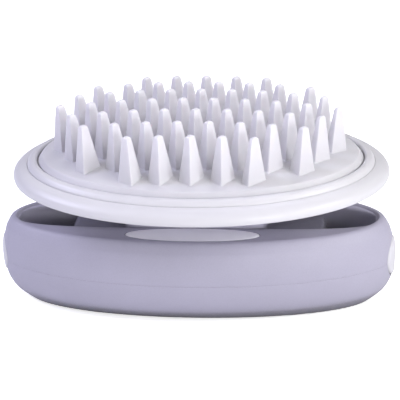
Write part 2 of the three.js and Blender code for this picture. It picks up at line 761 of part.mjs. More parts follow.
function bristleField() {
  const middleRow = (ROW_COUNTS.length - 1) / 2;
  return ROW_COUNTS.flatMap((count, row) =>
    Array.from({ length: count }, (_, i) => {
      const tipX = (i - (count - 1) / 2) * BRISTLE_PITCH;
      const inner = tipX < THIN_FROM_X ? BRISTLE : THIN_BRISTLE;
      return bristle(tipX, (row - middleRow) * ROW_PITCH, row === 0 ? FRONT_ROW[i] : inner);
    }),
  );
}

// thin domed skin with a rolled lip, a flange under the bezel, and the bristles
function bristlePad() {
  const skin = ovalLathe([
    pole(PAD_TOP_Z),
    ...dome(PAD_LIP_HALF_Y, PAD_TOP_Z, PAD_CROWN, 4).reverse(),
    ...headRings([
      [24.9, 38.15], [25.6, 37.25], [PAD_SIDE_HALF_Y, 36.9], [PAD_SIDE_HALF_Y, 36.2],
      [27.5, 36.2], [27.5, 35.6], [23.5, 35.6],
    ]),
    ...dome(23.5, 39.3, 2.15, 3),
    pole(39.3),
  ]);
  return union(skin, ...bristleField());
}
add("bristle_pad", bristlePad(), materials.silicone, head);

export default group;
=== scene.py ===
# A handheld bristle brush that stands on its handle.
# An oval handle lies along X with its base at z = 0. A neck rises from it to an oval head,
# set slightly towards +X, whose soft bristles point up. The front faces -Y, the power button
# is at the +X end, and the battery cover is underneath.
# Shapes are in millimetres; materials, floor, lights and camera are in metres.
import json
from math import cos, pi, radians, sin, sqrt

import bmesh
import bpy
import numpy as np
from mathutils import Matrix, Vector


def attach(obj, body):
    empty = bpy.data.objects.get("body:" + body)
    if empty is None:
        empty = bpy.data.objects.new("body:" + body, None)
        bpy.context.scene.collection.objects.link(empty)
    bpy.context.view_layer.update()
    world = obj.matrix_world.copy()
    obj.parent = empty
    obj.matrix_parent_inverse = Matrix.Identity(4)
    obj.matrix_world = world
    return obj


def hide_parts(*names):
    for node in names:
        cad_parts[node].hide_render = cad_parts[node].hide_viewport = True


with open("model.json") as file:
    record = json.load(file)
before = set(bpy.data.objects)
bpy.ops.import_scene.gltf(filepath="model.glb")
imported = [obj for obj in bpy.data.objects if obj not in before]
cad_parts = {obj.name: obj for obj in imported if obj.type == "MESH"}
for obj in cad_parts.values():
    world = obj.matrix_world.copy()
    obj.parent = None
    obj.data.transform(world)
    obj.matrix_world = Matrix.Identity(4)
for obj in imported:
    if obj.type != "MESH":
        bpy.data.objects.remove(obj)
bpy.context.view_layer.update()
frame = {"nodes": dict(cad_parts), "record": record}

MM = 0.001
OVAL_POINTS = 192
BRISTLE_POINTS = 32

# ------------------------------------------------------------------ sizes
HANDLE_STRETCH = 28.8  # half-length less half-depth, the same at every level
HEAD_STRETCH = 13.8
HEAD_X = 1.4
SHELF_Z = 21.1  # top face of the handle
PART_Z = 11.3  # parting line of the handle shells
PART_GAP = 0.006  # from the parting line to either shell
BUTTON_Z = 11.7
BUTTON_R = 4.75
NECK_X, NECK_Y = 17.3, 6.5  # half-sizes
NECK_POWER = 6.0
NECK_HOLES_X = (-14.3, 14.3)
INLAY_X, INLAY_Y = 16.3, 3.75  # half-sizes of the oval inlay on the shelf
INLAY_MID_Y = -10.6
COVER_X, COVER_Y, COVER_POWER = 32.3, 12.1, 4.0  # half-sizes and squareness
BASE_BOSSES = [(x, y) for x in (-34.8, 34.8) for y in (-5.4, 5.4)]
COVER_HOLES_X = (-28.9, 28.9)
MOTOR_Z = 25.4
PAD_TOP_Z = 41.3
PAD_CROWN = 2.9  # drop from the middle of the pad to its lip
PAD_LIP = 24.5  # half-depth

# outer wall of the handle, from the base up and over the rim: half-depth, z
HANDLE_PROFILE = [
    (13.2, 0), (14.7, 1.2), (16.1, 2.4), (17.2, 3.5), (18.1, 4.9), (18.85, 6.6),
    (19.4, 9.0), (19.6, 12.0), (19.45, 15.0), (18.7, 18.4), (18.1, 19.8), (17.4, 21.0),
    (16.8, 21.5), (16.1, 21.65), (15.75, 21.45), (15.5, SHELF_Z),
]  # fmt: skip


# ------------------------------------------------------------------ rings and curves
def angles(count):
    return np.arange(count) * 2 * pi / count


def oval(half_x, half_y, z, power=2.0, count=OVAL_POINTS, mid_x=0.0, mid_y=0.0):
    """A level ring; a power above 2 makes the ellipse squarer."""
    cosine, sine = np.cos(angles(count)), np.sin(angles(count))
    x = half_x * np.sign(cosine) * np.abs(cosine) ** (2 / power)
    y = half_y * np.sign(sine) * np.abs(sine) ** (2 / power)
    return np.stack([mid_x + x, mid_y + y, np.full(count, float(z))], 1)


def grown_ovals(half_x, half_y, rows, **shape):
    """Rings for rows of (growth, z)."""
    return [oval(half_x + grow, half_y + grow, z, **shape) for grow, z in rows]


def handle_rings(rows):
    """Rings of the handle's plan for rows of (half-depth, z)."""
    return [oval(half + HANDLE_STRETCH, half, z) for half, z in rows]


def head_rings(rows):
    """Rings of the head's plan for rows of (half-depth, z)."""
    return [oval(half + HEAD_STRETCH, half, z, mid_x=HEAD_X) for half, z in rows]


def between(start, end, steps):
    """Rings from start to end, with start left out."""
    return [start + (end - start) * (k / steps) for k in range(1, steps + 1)]


def rod(start, end, radius, count=24, end_radius=None, chamfer=0.0):
    """Rings of a round rod, with optional chamfered ends."""
    start, end = np.array(start, float), np.array(end, float)
    along = (end - start) / np.linalg.norm(end - start)
    across = np.cross(along, [0, 0, 1.0] if abs(along[2]) < 0.9 else [1.0, 0, 0])
    across /= np.linalg.norm(across)
    turn = angles(count)
    circle = np.cos(turn)[:, None] * across + np.sin(turn)[:, None] * np.cross(along, across)
    end_radius = radius if end_radius is None else end_radius
    if chamfer:
        return [
            start + circle * (radius - chamfer),
            start + along * chamfer + circle * radius,
            end - along * chamfer + circle * end_radius,
            end + circle * (end_radius - chamfer),
        ]
    return [start + circle * radius, end + circle * end_radius]


def curve_points(points, steps):
    """A Catmull-Rom curve through points, as an array."""
    path = np.asarray(points, float)
    path = np.concatenate([[2 * path[0] - path[1]], path, [2 * path[-1] - path[-2]]])
    out = []
    for before, start, end, after in zip(path, path[1:], path[2:], path[3:]):
        for k in range(steps):
            t = k / steps
            out.append(
                0.5
                * (
                    2 * start
                    + (end - before) * t
                    + (2 * before - 5 * start + 4 * end - after) * t * t
                    + (3 * start - before - 3 * end + after) * t**3
                )
            )
    out.append(path[-2])
    return np.array(out)


def rounded_outline(points, radius, steps):
    """A closed outline with every corner but the first point rounded."""
    corners = [np.array(point, float) for point in points + points[:1]]
    out = [corners[0]]
    for before, corner, after in zip(corners, corners[1:], corners[2:]):
        back, ahead = np.linalg.norm(before - corner), np.linalg.norm(after - corner)
        reach = min(radius, back * 0.45, ahead * 0.45)
        start = corner + (before - corner) / back * reach
        end = corner + (after - corner) / ahead * reach
        for k in range(steps + 1):
            t = k / steps
            out.append((1 - t) ** 2 * start + 2 * t * (1 - t) * corner + t * t * end)
    return out


# ------------------------------------------------------------------ meshes
def link_object(name, data):
    obj = bpy.data.objects.new(name, data)
    bpy.context.scene.collection.objects.link(obj)
    return obj


def shade(obj, angle):
    """Smooth shading, but for edges over the angle in degrees."""
    mesh = obj.data
    mesh.polygons.foreach_set("use_smooth", [True] * len(mesh.polygons))
    mesh.set_sharp_from_angle(angle=radians(angle))
    mesh.update()


def mesh_object(name, verts, faces):
    """An object from millimetre points, faces turned outward."""
    mesh = bpy.data.meshes.new(name)
    mesh.from_pydata([tuple(v) for v in (np.asarray(verts, float) * MM)], [], faces)
    work = bmesh.new()
    work.from_mesh(mesh)
    bmesh.ops.remove_doubles(work, verts=work.verts, dist=1e-7)
    bmesh.ops.recalc_face_normals(work, faces=work.faces)
    work.to_mesh(mesh)
    work.free()
    mesh.validate()
    obj = link_object(name, mesh)
    shade(obj, 40)
    return obj


def chain(rings, closed=False):
    """Joins rings of equal count; open chains are capped with a fan at each end."""
    count, total = len(rings[0]), len(rings)
    verts = np.concatenate(rings)
    faces = []
    for i in range(total if closed else total - 1):
        near, far = i * count, ((i + 1) % total) * count
        for j in range(count):
            k = (j + 1) % count
            faces.append((near + j, near + k, far + k, far + j))
    if not closed:
        for i in (0, total - 1):
            verts = np.concatenate([verts, rings[i].mean(0)[None]])
            centre = len(verts) - 1
            for j in range(count):
                faces.append((i * count + j, i * count + (j + 1) % count, centre))
    return verts, faces


def solid(rings, name="tool", closed=False):
    return mesh_object(name, *chain(rings, closed))


def rod_solid(*args, **shape):
    return solid(rod(*args, **shape))


def box(x0, x1, y0, y1, z0, z1):
    verts = [(x, y, z) for z in (z0, z1) for y in (y0, y1) for x in (x0, x1)]
    faces = [(0, 2, 3, 1), (4, 5, 7, 6), (0, 1, 5, 4), (1, 3, 7, 5), (3, 2, 6, 7), (2, 0, 4, 6)]
    return mesh_object("tool", verts, faces)


def countersink(x, y, mouth_radius, mouth_z, radius, top):
    """A tapered mouth that opens downward, then a straight bore up to top."""
    return solid(
        rod((x, y, -1), (x, y, mouth_z), mouth_radius, end_radius=2.3, count=48)
        + rod((x, y, mouth_z + 0.2), (x, y, top), radius, count=48)
    )


def combine(obj, tool, operation):
    """Applies a boolean and removes the tool."""
    modifier = obj.modifiers.new("b", "BOOLEAN")
    modifier.operation = operation
    modifier.object = tool
    modifier.solver = "MANIFOLD"
    bpy.context.view_layer.update()
    deps = bpy.context.evaluated_depsgraph_get()
    mesh = bpy.data.meshes.new_from_object(obj.evaluated_get(deps))
    obj.modifiers.clear()
    old = obj.data
    obj.data = mesh
    bpy.data.meshes.remove(old)
    tool_mesh = tool.data
    bpy.data.objects.remove(tool)
    bpy.data.meshes.remove(tool_mesh)


def cut(obj, tool):
    combine(obj, tool, "DIFFERENCE")


def join(obj, tool):
    combine(obj, tool, "UNION")


def clean(obj, angle, dist=2e-6):
    """Merges points closer than dist, drops faces with no area, keeps the largest body."""
    work = bmesh.new()
    work.from_mesh(obj.data)
    bmesh.ops.remove_doubles(work, verts=work.verts, dist=dist)
    bmesh.ops.dissolve_degenerate(work, edges=work.edges, dist=dist)
    seen, largest = set(), []
    for first in work.verts:
        if first in seen:
            continue
        stack, part = [first], []
        seen.add(first)
        while stack:
            vert = stack.pop()
            part.append(vert)
            for edge in vert.link_edges:
                other = edge.other_vert(vert)
                if other not in seen:
                    seen.add(other)
                    stack.append(other)
        if len(part) > len(largest):
            largest = part
    keep = set(largest)
    bmesh.ops.delete(work, geom=[v for v in work.verts if v not in keep], context="VERTS")
    work.to_mesh(obj.data)
    work.free()
    shade(obj, angle)


# ------------------------------------------------------------------ materials
def add_node(tree, kind, inputs=None, **settings):
    """A node whose inputs are given as values or as sockets to link from."""
    node = tree.nodes.new(kind)
    for key, value in settings.items():
        setattr(node, key, value)
    for key, value in (inputs or {}).items():
        if isinstance(value, bpy.types.NodeSocket):
            tree.links.new(value, node.inputs[key])
        else:
            node.inputs[key].default_value = value
    return node


def material(
    name,
    colour,
    rough,
    metal=0.0,
    vary=0.03,  # drift of the colour, and its noise scale
    vary_scale=120.0,
    rough_vary=0.06,  # drift of the roughness either way, and its noise scale
    rough_scale=400.0,
    bump=0.15,  # strength, noise scale and depth of the grain
    bump_scale=2500.0,
    bump_depth=0.00002,
    stretch=(1, 1, 1),  # scale of the noise along each axis
    sss=0.0,
    coat=0.0,
    sheen=0.0,
    mottle=0.0,  # darkening in fine spots
    tint=(1, 1, 1),  # tint of the darker end of the colour drift
    occlusion_shade=0.0,  # painted shade: darkening in narrow places, where less light reaches
    pocket_shade_neck_light=0.0,  # painted shade deep in the pockets and painted light on the neck, set by a mesh attribute
    tip_light=0.0,  # painted light: lightening towards the bristle tips
):
    """A procedural finish: drifting colour, wandering roughness and a fine grain, with painted
    shade and painted light where asked.
    """
    mat = bpy.data.materials.new(name)
    mat.use_nodes = True
    tree = mat.node_tree
    tree.nodes.clear()
    coords = add_node(tree, "ShaderNodeTexCoord").outputs["Object"]
    mapping = add_node(tree, "ShaderNodeMapping", {"Scale": stretch, "Vector": coords})

    def noise(scale, detail=4.0, roughness=0.55):
        inputs = {
            "Scale": scale,
            "Detail": detail,
            "Roughness": roughness,
            "Vector": mapping.outputs["Vector"],
        }
        return add_node(tree, "ShaderNodeTexNoise", inputs).outputs["Fac"]

    def remap(value, low, high, to_low, to_high):
        inputs = {
            "From Min": low,
            "From Max": high,
            "To Min": to_low,
            "To Max": to_high,
            "Value": value,
        }
        return add_node(tree, "ShaderNodeMapRange", inputs).outputs["Result"]

    def blend(first, second, factor=1.0, kind="MULTIPLY"):
        inputs = {"A": first, "B": second, "Factor": factor}
        node = add_node(tree, "ShaderNodeMix", inputs, data_type="RGBA", blend_type=kind)
        return node.outputs["Result"]

    dark = [max(0.0, c * (1 - vary) * t) for c, t in zip(colour, tint)]
    light = [min(1.0, c * (1 + vary * 0.5)) for c in colour]
    drift = remap(noise(vary_scale), 0.3, 0.7, 0, 1)
    shown = blend((*dark, 1), (*light, 1), drift, kind="MIX")
    if mottle:
        spots = remap(noise(bump_scale * 0.6, detail=2.0), 0.45, 0.62, 0, 1)
        shown = blend(shown, (1 - mottle, 1 - mottle, 1 - mottle, 1), spots)
    # painted shade: the colour darkens where ambient occlusion finds nearby surfaces
    if occlusion_shade:
        occlusion = add_node(
            tree, "ShaderNodeAmbientOcclusion", {"Distance": 0.011}, samples=8
        )
        shown = blend(shown, remap(occlusion.outputs["AO"], 0.12, 0.5, 1 - occlusion_shade, 1))
    # painted shade in the pockets, deeper is darker; painted light on the neck, marked negative
    if pocket_shade_neck_light:
        pocket = add_node(tree, "ShaderNodeAttribute", attribute_name="pocket_shade_neck_light")
        shown = blend(shown, remap(pocket.outputs["Fac"], -1, 1, 1 + pocket_shade_neck_light, 1 - pocket_shade_neck_light))
    if tip_light:
        # painted light: thin ends let more light through than thick roots, so the colour pales
        # towards the tips
        level = add_node(tree, "ShaderNodeSeparateXYZ", {"Vector": coords}).outputs["Z"]
        shown = blend(shown, remap(level, 0.0385, 0.052, 1 - tip_light, 1 + tip_light))

    rough_range = max(0.02, rough - rough_vary), min(1.0, rough + rough_vary)
    inputs = {
        "Base Color": shown,
        "Roughness": remap(noise(rough_scale), 0.3, 0.7, *rough_range),
        "Metallic": metal,
    }
    grain = {
        "Strength": bump,
        "Distance": bump_depth,
        "Height": noise(bump_scale, detail=3.0, roughness=0.6),
    }
    inputs["Normal"] = add_node(tree, "ShaderNodeBump", grain).outputs["Normal"]
    if sss:
        inputs["Subsurface Weight"] = sss
        inputs["Subsurface Radius"] = (1.0, 0.85, 0.9)
        inputs["Subsurface Scale"] = 0.002
    if coat:
        inputs["Coat Weight"] = coat
        inputs["Coat Roughness"] = 0.15
    if sheen:
        inputs["Sheen Weight"] = sheen
        inputs["Sheen Roughness"] = 0.4
    surface = add_node(tree, "ShaderNodeBsdfPrincipled", inputs).outputs["BSDF"]
    add_node(tree, "ShaderNodeOutputMaterial", {"Surface": surface})
    return mat


FINISHES = {
    "white_silicone": dict(
        colour=(0.655, 0.645, 0.675), rough=0.5, vary=0.015, vary_scale=90, rough_vary=0.04,
        bump=0.25, bump_scale=5200, bump_depth=0.00003, sss=0.3, tint=(0.99, 0.985, 1.0),
        tip_light=0.09,
    ),
    "white_plastic": dict(
        colour=(0.62, 0.61, 0.64), rough=0.36, vary=0.012, vary_scale=70, rough_vary=0.03,
        rough_scale=90, bump=0.1, bump_scale=6500, bump_depth=0.00001,
    ),
    # soft_touch carries painted shade in narrow places and in the pockets, and painted light on
    # the neck
    "soft_touch": dict(
        colour=(0.385, 0.37, 0.46), rough=0.5, vary=0.025, vary_scale=110, rough_vary=0.06,
        bump=0.3, bump_scale=5200, bump_depth=0.00003, sheen=0.05, mottle=0.03, occlusion_shade=0.75,
        pocket_shade_neck_light=0.9,
    ),
    # painted light: the inlay is white plastic, coloured far paler than white_plastic to lift it
    # in the shade under the head
    "inlay": dict(
        colour=(0.97, 0.955, 1.0), rough=0.36, vary=0.012, vary_scale=60, rough_vary=0.03,
        rough_scale=80, bump=0.1, bump_scale=6500, bump_depth=0.00001,
    ),
    "button_white": dict(
        colour=(0.6, 0.59, 0.635), rough=0.42, vary=0.012, bump=0.2, bump_scale=4200,
        bump_depth=0.00002,
    ),
    "seal": dict(
        colour=(0.16, 0.155, 0.175), rough=0.75, vary=0.12, bump=0.35, bump_scale=3600,
        bump_depth=0.00004, sheen=0.15,
    ),
    "circuit_board": dict(
        colour=(0.035, 0.17, 0.075), rough=0.35, vary=0.35, vary_scale=900, bump=0.4,
        bump_scale=2600, bump_depth=0.00004, stretch=(1, 1, 3), coat=0.4,
    ),
    "black_plastic": dict(
        colour=(0.03, 0.03, 0.034), rough=0.45, vary=0.15, bump=0.25, bump_scale=4000
    ),
    "inner_plastic": dict(
        colour=(0.66, 0.655, 0.68), rough=0.55, vary=0.05, bump=0.3, bump_scale=2200,
        bump_depth=0.00004, mottle=0.03,
    ),
    "cell_sleeve": dict(
        colour=(0.1, 0.2, 0.36), rough=0.28, vary=0.08, vary_scale=60, bump=0.15,
        bump_scale=900, stretch=(0.2, 1, 1), coat=0.5,
    ),
    "steel": dict(
        colour=(0.6, 0.61, 0.63), rough=0.28, metal=1.0, vary=0.06, rough_vary=0.1, bump=0.25,
        bump_scale=3000, stretch=(0.15, 1, 1), bump_depth=0.00001,
    ),
    "contact_brass": dict(
        colour=(0.66, 0.48, 0.2), rough=0.3, metal=1.0, vary=0.12, rough_vary=0.1, bump=0.25,
        bump_scale=2600, stretch=(1, 0.15, 1), bump_depth=0.00001,
    ),
    "weight_metal": dict(
        colour=(0.2, 0.2, 0.215), rough=0.55, metal=1.0, vary=0.2, vary_scale=1500, bump=0.6,
        bump_scale=4200, bump_depth=0.00004,
    ),
    "red_wire": dict(
        colour=(0.5, 0.04, 0.04), rough=0.4, vary=0.1, bump=0.15, bump_scale=3000, coat=0.2
    ),
    "dark_wire": dict(
        colour=(0.03, 0.03, 0.035), rough=0.4, vary=0.2, bump=0.15, bump_scale=3000, coat=0.2
    ),
}  # fmt: skip
MATERIALS = {name: material(name, **settings) for name, settings in FINISHES.items()}

# every CAD node that stays gets the finish of its slot
SLOT = {part["node"]: part["material_slot"] for part in frame["record"]["subparts"]}
for node_name, cad_object in frame["nodes"].items():
    cad_object.data.materials.clear()
    cad_object.data.materials.append(MATERIALS[SLOT[node_name]])
    shade(cad_object, 32)


def finish(obj, body, node):
    """obj takes the place of a CAD node: its finish, body and slot."""
    obj.data.materials.clear()
    obj.data.materials.append(MATERIALS[SLOT[node]])
    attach(obj, body)
    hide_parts(node)


# ------------------------------------------------------------------ handle
HANDLE_CURVE = curve_points(HANDLE_PROFILE, 6)
STEP_X, SHALLOW_Z, DEEP_Z = 31.3, 17.5, 15.0  # the pocket floor steps down at STEP_X
POCKET_TOP_Z = 20.95

# rolled edge of the pocket mouth, then its wall down to the floor: half x, half y, z, power
POCKET_WALL = [
    (44.15, 7.05, SHELF_Z, 3.4), (44.0, 6.85, 21.02, 3.4), (43.9, 6.68, 20.85, 3.4),
    (43.86, 6.6, 20.6, 3.4), (43.85, 6.75, 20.2, 3.3), (43.7, 7.05, 19.7, 3.2),
    (43.2, 7.35, 19.0, 3.1), (42.4, 7.45, 18.2, 3.0), (41.3, 7.4, 17.3, 3.0),
    (40.1, 7.25, 16.5, 3.0), (39.0, 7.0, 15.8, 3.0), (38.0, 6.7, 15.3, 3.0),
    (36.9, 6.3, 15.0, 3.0),
]  # fmt: skip
# shell left standing under the pockets: half x, half y, z
POCKET_SHELL = [
    (38.3, 7.8, 13.7), (40.9, 8.7, 15.1), (43.5, 9.1, 17.0), (45.0, 9.0, 18.6), (45.6, 8.9, 20.4)
]  # fmt: skip


def handle_half_depth(z):
    """Half-depth of the handle's outer wall at a level."""
    rising = HANDLE_CURVE[: int(np.argmax(HANDLE_CURVE[:, 1])) + 1]
    return float(np.interp(z, rising[:, 1], rising[:, 0]))


def parting_edge(z, inward):
    """The softened outer edge at the parting line; inward is +1 for up, -1 for down."""
    return [
        (handle_half_depth(z) - 0.035, z),
        (handle_half_depth(z) - 0.008, z + inward * 0.01),
        (handle_half_depth(z + inward * 0.04), z + inward * 0.04),
    ]


def cut_end_holes(shell):
    for side in (1, -1):
        start, end = (side * 44.4, 0, BUTTON_Z), (side * 52, 0, BUTTON_Z)
        cut(shell, rod_solid(start, end, BUTTON_R + 0.25, count=96))


def floor_z(x):
    """Level of the pocket floor: shallow near the neck, then a soft step down."""
    t = np.clip((np.abs(x) - (STEP_X - 0.7)) / 1.4, 0, 1)
    return SHALLOW_Z + (DEEP_Z - SHALLOW_Z) * (t * t * (3 - 2 * t))


def widen(ring):
    """Behind the neck (+Y) each pocket widens towards the rim."""
    x, y = np.abs(ring[:, 0]), ring[:, 1]
    t = np.clip((x - 17.3) / 9, 0, 1)
    factor = 1 + 0.5 * t * t * (3 - 2 * t) * (1 - np.minimum(1, x / 43) ** 7.3)
    out = ring.copy()
    out[:, 1] = np.where(y > 0, y * factor, y)
    return out


def paint_pocket_shade_neck_light(shell):
    """Stores how deep each point lies in a pocket, for painted shade there; the neck is marked
    negative, so it gets painted light and shows paler.
    """
    places = np.empty(len(shell.data.vertices) * 3)
    shell.data.vertices.foreach_get("co", places)
    x, y, z = (places.reshape(-1, 3) / MM).T
    half_y = np.where(y > 0, 11.8, 7.6)
    inside = (np.abs(x) / 44.4) ** 3 + (np.abs(y) / half_y) ** 3 < 1
    inside &= np.abs(y) < 0.93 * 18 * np.sqrt(np.maximum(0, 1 - (x / 46.6) ** 2))
    inside &= (z > 14.5) & (z < POCKET_TOP_Z)
    depth = np.where(inside, np.clip((POCKET_TOP_Z - z) / 5.9, 0, 1), 0.0)
    neck = (np.abs(x) < NECK_X + 0.3) & (np.abs(y) < NECK_Y + 0.3) & (z > POCKET_TOP_Z)
    depth = np.where(neck, -0.35, depth)
    attribute = shell.data.attributes.new("pocket_shade_neck_light", "FLOAT", "POINT")
    attribute.data.foreach_set("value", depth.astype(np.float32))


def handle_top():
    low = PART_Z + PART_GAP
    first = int(np.argmax(HANDLE_CURVE[:, 1] > low + 0.35))
    rings = handle_rings(parting_edge(low, 1))
    rings += handle_rings(HANDLE_CURVE[first:])

    wall = []
    for half_x, half_y, z, power in POCKET_WALL:
        ring = widen(oval(half_x, half_y, z, power))
        if z < 20:
            ring[:, 2] = np.maximum(ring[:, 2], floor_z(ring[:, 0]))
        wall.append(ring)
    rings += between(rings[-1], wall[0], 4)[:-1] + wall

    # floor towards the neck, then the fillet at its foot and the neck itself
    foot = oval(NECK_X + 0.7, NECK_Y - 0.12, DEEP_Z, 5.0)
    for ring in between(wall[-1], foot, 24):
        ring[:, 2] = floor_z(ring[:, 0])
        rings.append(ring)
    for grow_x, grow_y, rise in ((0.3, -0.1, 0.12), (0.08, -0.06, 0.4), (0.0, 0.0, 0.9)):
        rings.append(oval(NECK_X + grow_x, NECK_Y + grow_y, SHALLOW_Z + rise, NECK_POWER))
    rows = [(0, z) for z in (19.5, 21.5, 24, 27, 30, 32.0)]
    rows += [(-0.08, 32.26), (-0.3, 32.38), (-1.2, 32.4)]
    rings += grown_ovals(NECK_X, NECK_Y, rows, power=NECK_POWER)
    top = solid(rings, "handle_top_shell")

    # the inside, less the shells of the pockets
    rows = [(17.8, 10.0), (17.8, low), (17.6, 15.0), (17.0, 17.8), (16.4, 18.9), (15.3, 19.4)]
    inside = solid(handle_rings(rows))
    pocket = solid([widen(oval(*row, 3.0)) for row in POCKET_SHELL])
    cut(pocket, box(-30.1, 30.1, -16, 16, 12, 16.15))
    cut(pocket, box(-16.0, 16.0, -16, 16, 12, 22))
    cut(inside, pocket)
    cut(top, inside)
    # chamber in the neck
    cut(top, solid([oval(11.4, 4.15, z, 8, 64) for z in (17, 30.8)]))
    for x in NECK_HOLES_X:
        cut(top, rod_solid((x, 0, 24.5), (x, 0, 34), 0.95))
    cut_end_holes(top)
    # seat of the shelf inlay: half x, half y, z
    seat = [(16.45, 3.9, 20.3), (16.45, 3.9, 21.0), (16.62, 4.07, 21.2), (16.9, 4.3, 23)]
    cut(top, solid([oval(*row, count=128, mid_y=INLAY_MID_Y) for row in seat]))
    clean(top, 38)
    paint_pocket_shade_neck_light(top)
    finish(top, "handle", "handle_top")


def handle_base():
    high = PART_Z - PART_GAP
    rings = [oval(30, 6, 0)]
    rows = [(12.6, 0), (13.05, 0.06), (13.5, 0.25)]
    rows += [row for row in HANDLE_CURVE if 0.4 < row[1] < high - 0.35]
    rows += parting_edge(high, -1)[::-1]
    rows += [(17.8, high), (17.55, 9.0), (17.05, 6.6), (16.2, 4.7), (15.2, 3.7)]
    rings += handle_rings(rows)
    rings += [oval(34.4, 12.6, 3.7, 2.6), oval(30.0, 10, 3.7, 2.2)]
    base = solid(rings, "handle_base_shell")
    for x, y in BASE_BOSSES:
        join(base, rod_solid((x, y, 2.5), (x, y, high), 2.3, count=32))
    for x in COVER_HOLES_X:
        join(base, rod_solid((x, 0, 2.5), (x, 0, 8.2), 2.2, count=32))
    # recess for the battery cover, and the bay above it
    rows = [(0.9, -1), (0.22, 0), (0, 0.28), (0, 2.25)]
    cut(base, solid(grown_ovals(COVER_X + 0.2, COVER_Y + 0.2, rows, power=COVER_POWER)))
    cut(base, box(-25.2, 25.2, -11.0, 11.0, -1, 5))
    for x, y in BASE_BOSSES:
        cut(base, rod_solid((x, y, -1), (x, y, 13), 1.0))
        cut(base, countersink(x, y, mouth_radius=3.2, mouth_z=0.0, radius=2.05, top=2.2))
    for x in COVER_HOLES_X:
        cut(base, rod_solid((x, 0, -1), (x, 0, 7.4), 0.95))
    cut_end_holes(base)
    clean(base, 38)
    finish(base, "handle", "handle_base")


# ------------------------------------------------------------------ button and inlays
def outer_x(y, z, grow):
    """Where the handle's end wall, grown by grow, stands at (y, z)."""
    half = handle_half_depth(z) + grow
    return (half + HANDLE_STRETCH) * sqrt(max(0.0, 1 - (y / half) ** 2))


def end_cap(name, side, proud):
    """A round cap that follows the handle's end; on the +X side it has a shallow dish."""
    flat = BUTTON_R - 0.5
    # radius, x beyond the end wall
    rows = [(share * flat, 0.0) for share in (0.12, 0.25, 0.38, 0.5, 0.62, 0.74, 0.86, 1.0)]
    rows += [
        (flat + 0.5 * sin(turn), -0.45 * (1 - cos(turn))) for turn in (0.35, 0.7, 1.05, 1.35, 1.57)
    ]
    rows += [(BUTTON_R, -1.0), (BUTTON_R, -1.55), (BUTTON_R - 0.6, -1.6)]
    rings = []
    for radius, out in rows:
        dish = -0.16 * max(0.0, 1 - (radius / 3.6) ** 2) if side > 0 else 0.0
        ring = []
        for turn in angles(96):
            y, z = radius * cos(turn), BUTTON_Z + radius * sin(turn)
            ring.append((side * (outer_x(y, z, proud) + out + dish), y, z))
        rings.append(np.array(ring))
    return solid(rings, name)


def power_button():
    button = end_cap("power_button_cap", 1, 0.3)
    join(button, rod_solid((45.0, 0, BUTTON_Z), (47.6, 0, BUTTON_Z), 2.8, count=48))
    join(button, rod_solid((44.0, 0, BUTTON_Z), (47.0, 0, BUTTON_Z), 1.5, count=32, chamfer=0.2))
    join(button, box(44.6, 45.2, -2.2, 2.2, BUTTON_Z - 5.5, BUTTON_Z + 5.5))
    clean(button, 40)
    finish(button, "button", "power_button")


def shelf_inlay():
    shape = dict(count=128, mid_y=INLAY_MID_Y)
    rows = [(0, 20.4), (0, 20.95), (-0.04, 21.05), (-0.14, 21.13), (-0.3, 21.18), (-0.8, 21.22)]
    rings = grown_ovals(INLAY_X, INLAY_Y, rows, **shape)
    # low crown
    for share in (0.7, 0.45, 0.2):
        z = 21.22 + 0.13 * (1 - share * share)
        rings.append(oval((INLAY_X - 0.8) * share, (INLAY_Y - 0.8) * share, z, **shape))
    finish(solid(rings, "shelf_inlay_plate"), "handle", "shelf_inlay")


# ------------------------------------------------------------------ head
# half-depth, z
HEAD_SKIRT = [
    (29.3, 33.2), (30.3, 32.62), (31.3, 32.4), (31.85, 32.55), (32.08, 33.1), (32.1, 33.7),
    (31.9, 34.35), (31.45, 34.95), (30.75, 35.5), (30.0, 35.82), (29.2, 36.04),
]  # fmt: skip
HEAD_SEAT = [
    (28.72, 36.1), (28.66, 36.05), (28.64, 35.8), (28.64, 35.4), (21.0, 35.4), (20.8, 34.6)
]  # fmt: skip
BEZEL_OUTLINE = [
    (27.2, 36.35), (27.75, 36.35), (27.75, 35.5), (28.55, 35.5), (28.62, 36.25), (28.3, 36.75),
    (27.85, 37.3), (27.2, 37.5), (26.55, 37.5), (26.2, 37.2), (26.15, 36.35),
]  # fmt: skip


def head_shell():
    rings = [oval(20, 8, 33.2, mid_x=HEAD_X)] + head_rings([(24, 33.2), (28.6, 33.2)])
    rings += head_rings(curve_points(HEAD_SKIRT, 5)) + head_rings(HEAD_SEAT)
    rings.append(oval(22, 10, 34.6, mid_x=HEAD_X))
    shell = solid(rings, "head_shell_skirt")
    for x in (-24 + HEAD_X, 24 + HEAD_X):
        for y in (-10, 10):
            join(shell, rod_solid((x, y, 34.0), (x, y, 35.65), 2.2, count=32))
            cut(shell, rod_solid((x, y, 34.0), (x, y, 38), 0.95))
    for x in NECK_HOLES_X:
        cut(shell, rod_solid((x, 0, 32), (x, 0, 36), 1.1))
    clean(shell, 38)
    finish(shell, "handle", "head_shell")


def bezel_ring():
    rings = head_rings(rounded_outline(BEZEL_OUTLINE, 0.28, 4))
    finish(solid(rings, "bezel_ring_band", closed=True), "handle", "bezel_ring")


def neck_gasket():
    """A rubber slab with rounded edges between neck and head."""
    rows = [
        (-0.6, 32.5), (-0.22, 32.52), (-0.1, 32.62), (-0.06, 32.8), (-0.1, 32.98),
        (-0.22, 33.08), (-0.6, 33.1),
    ]  # fmt: skip
    rings = grown_ovals(NECK_X, NECK_Y, rows, power=NECK_POWER, count=128)
    gasket = solid(rings, "neck_gasket_slab")
    for x in NECK_HOLES_X:
        cut(gasket, rod_solid((x, 0, 32), (x, 0, 34), 1.1))
    clean(gasket, 45)
    finish(gasket, "handle", "neck_gasket")


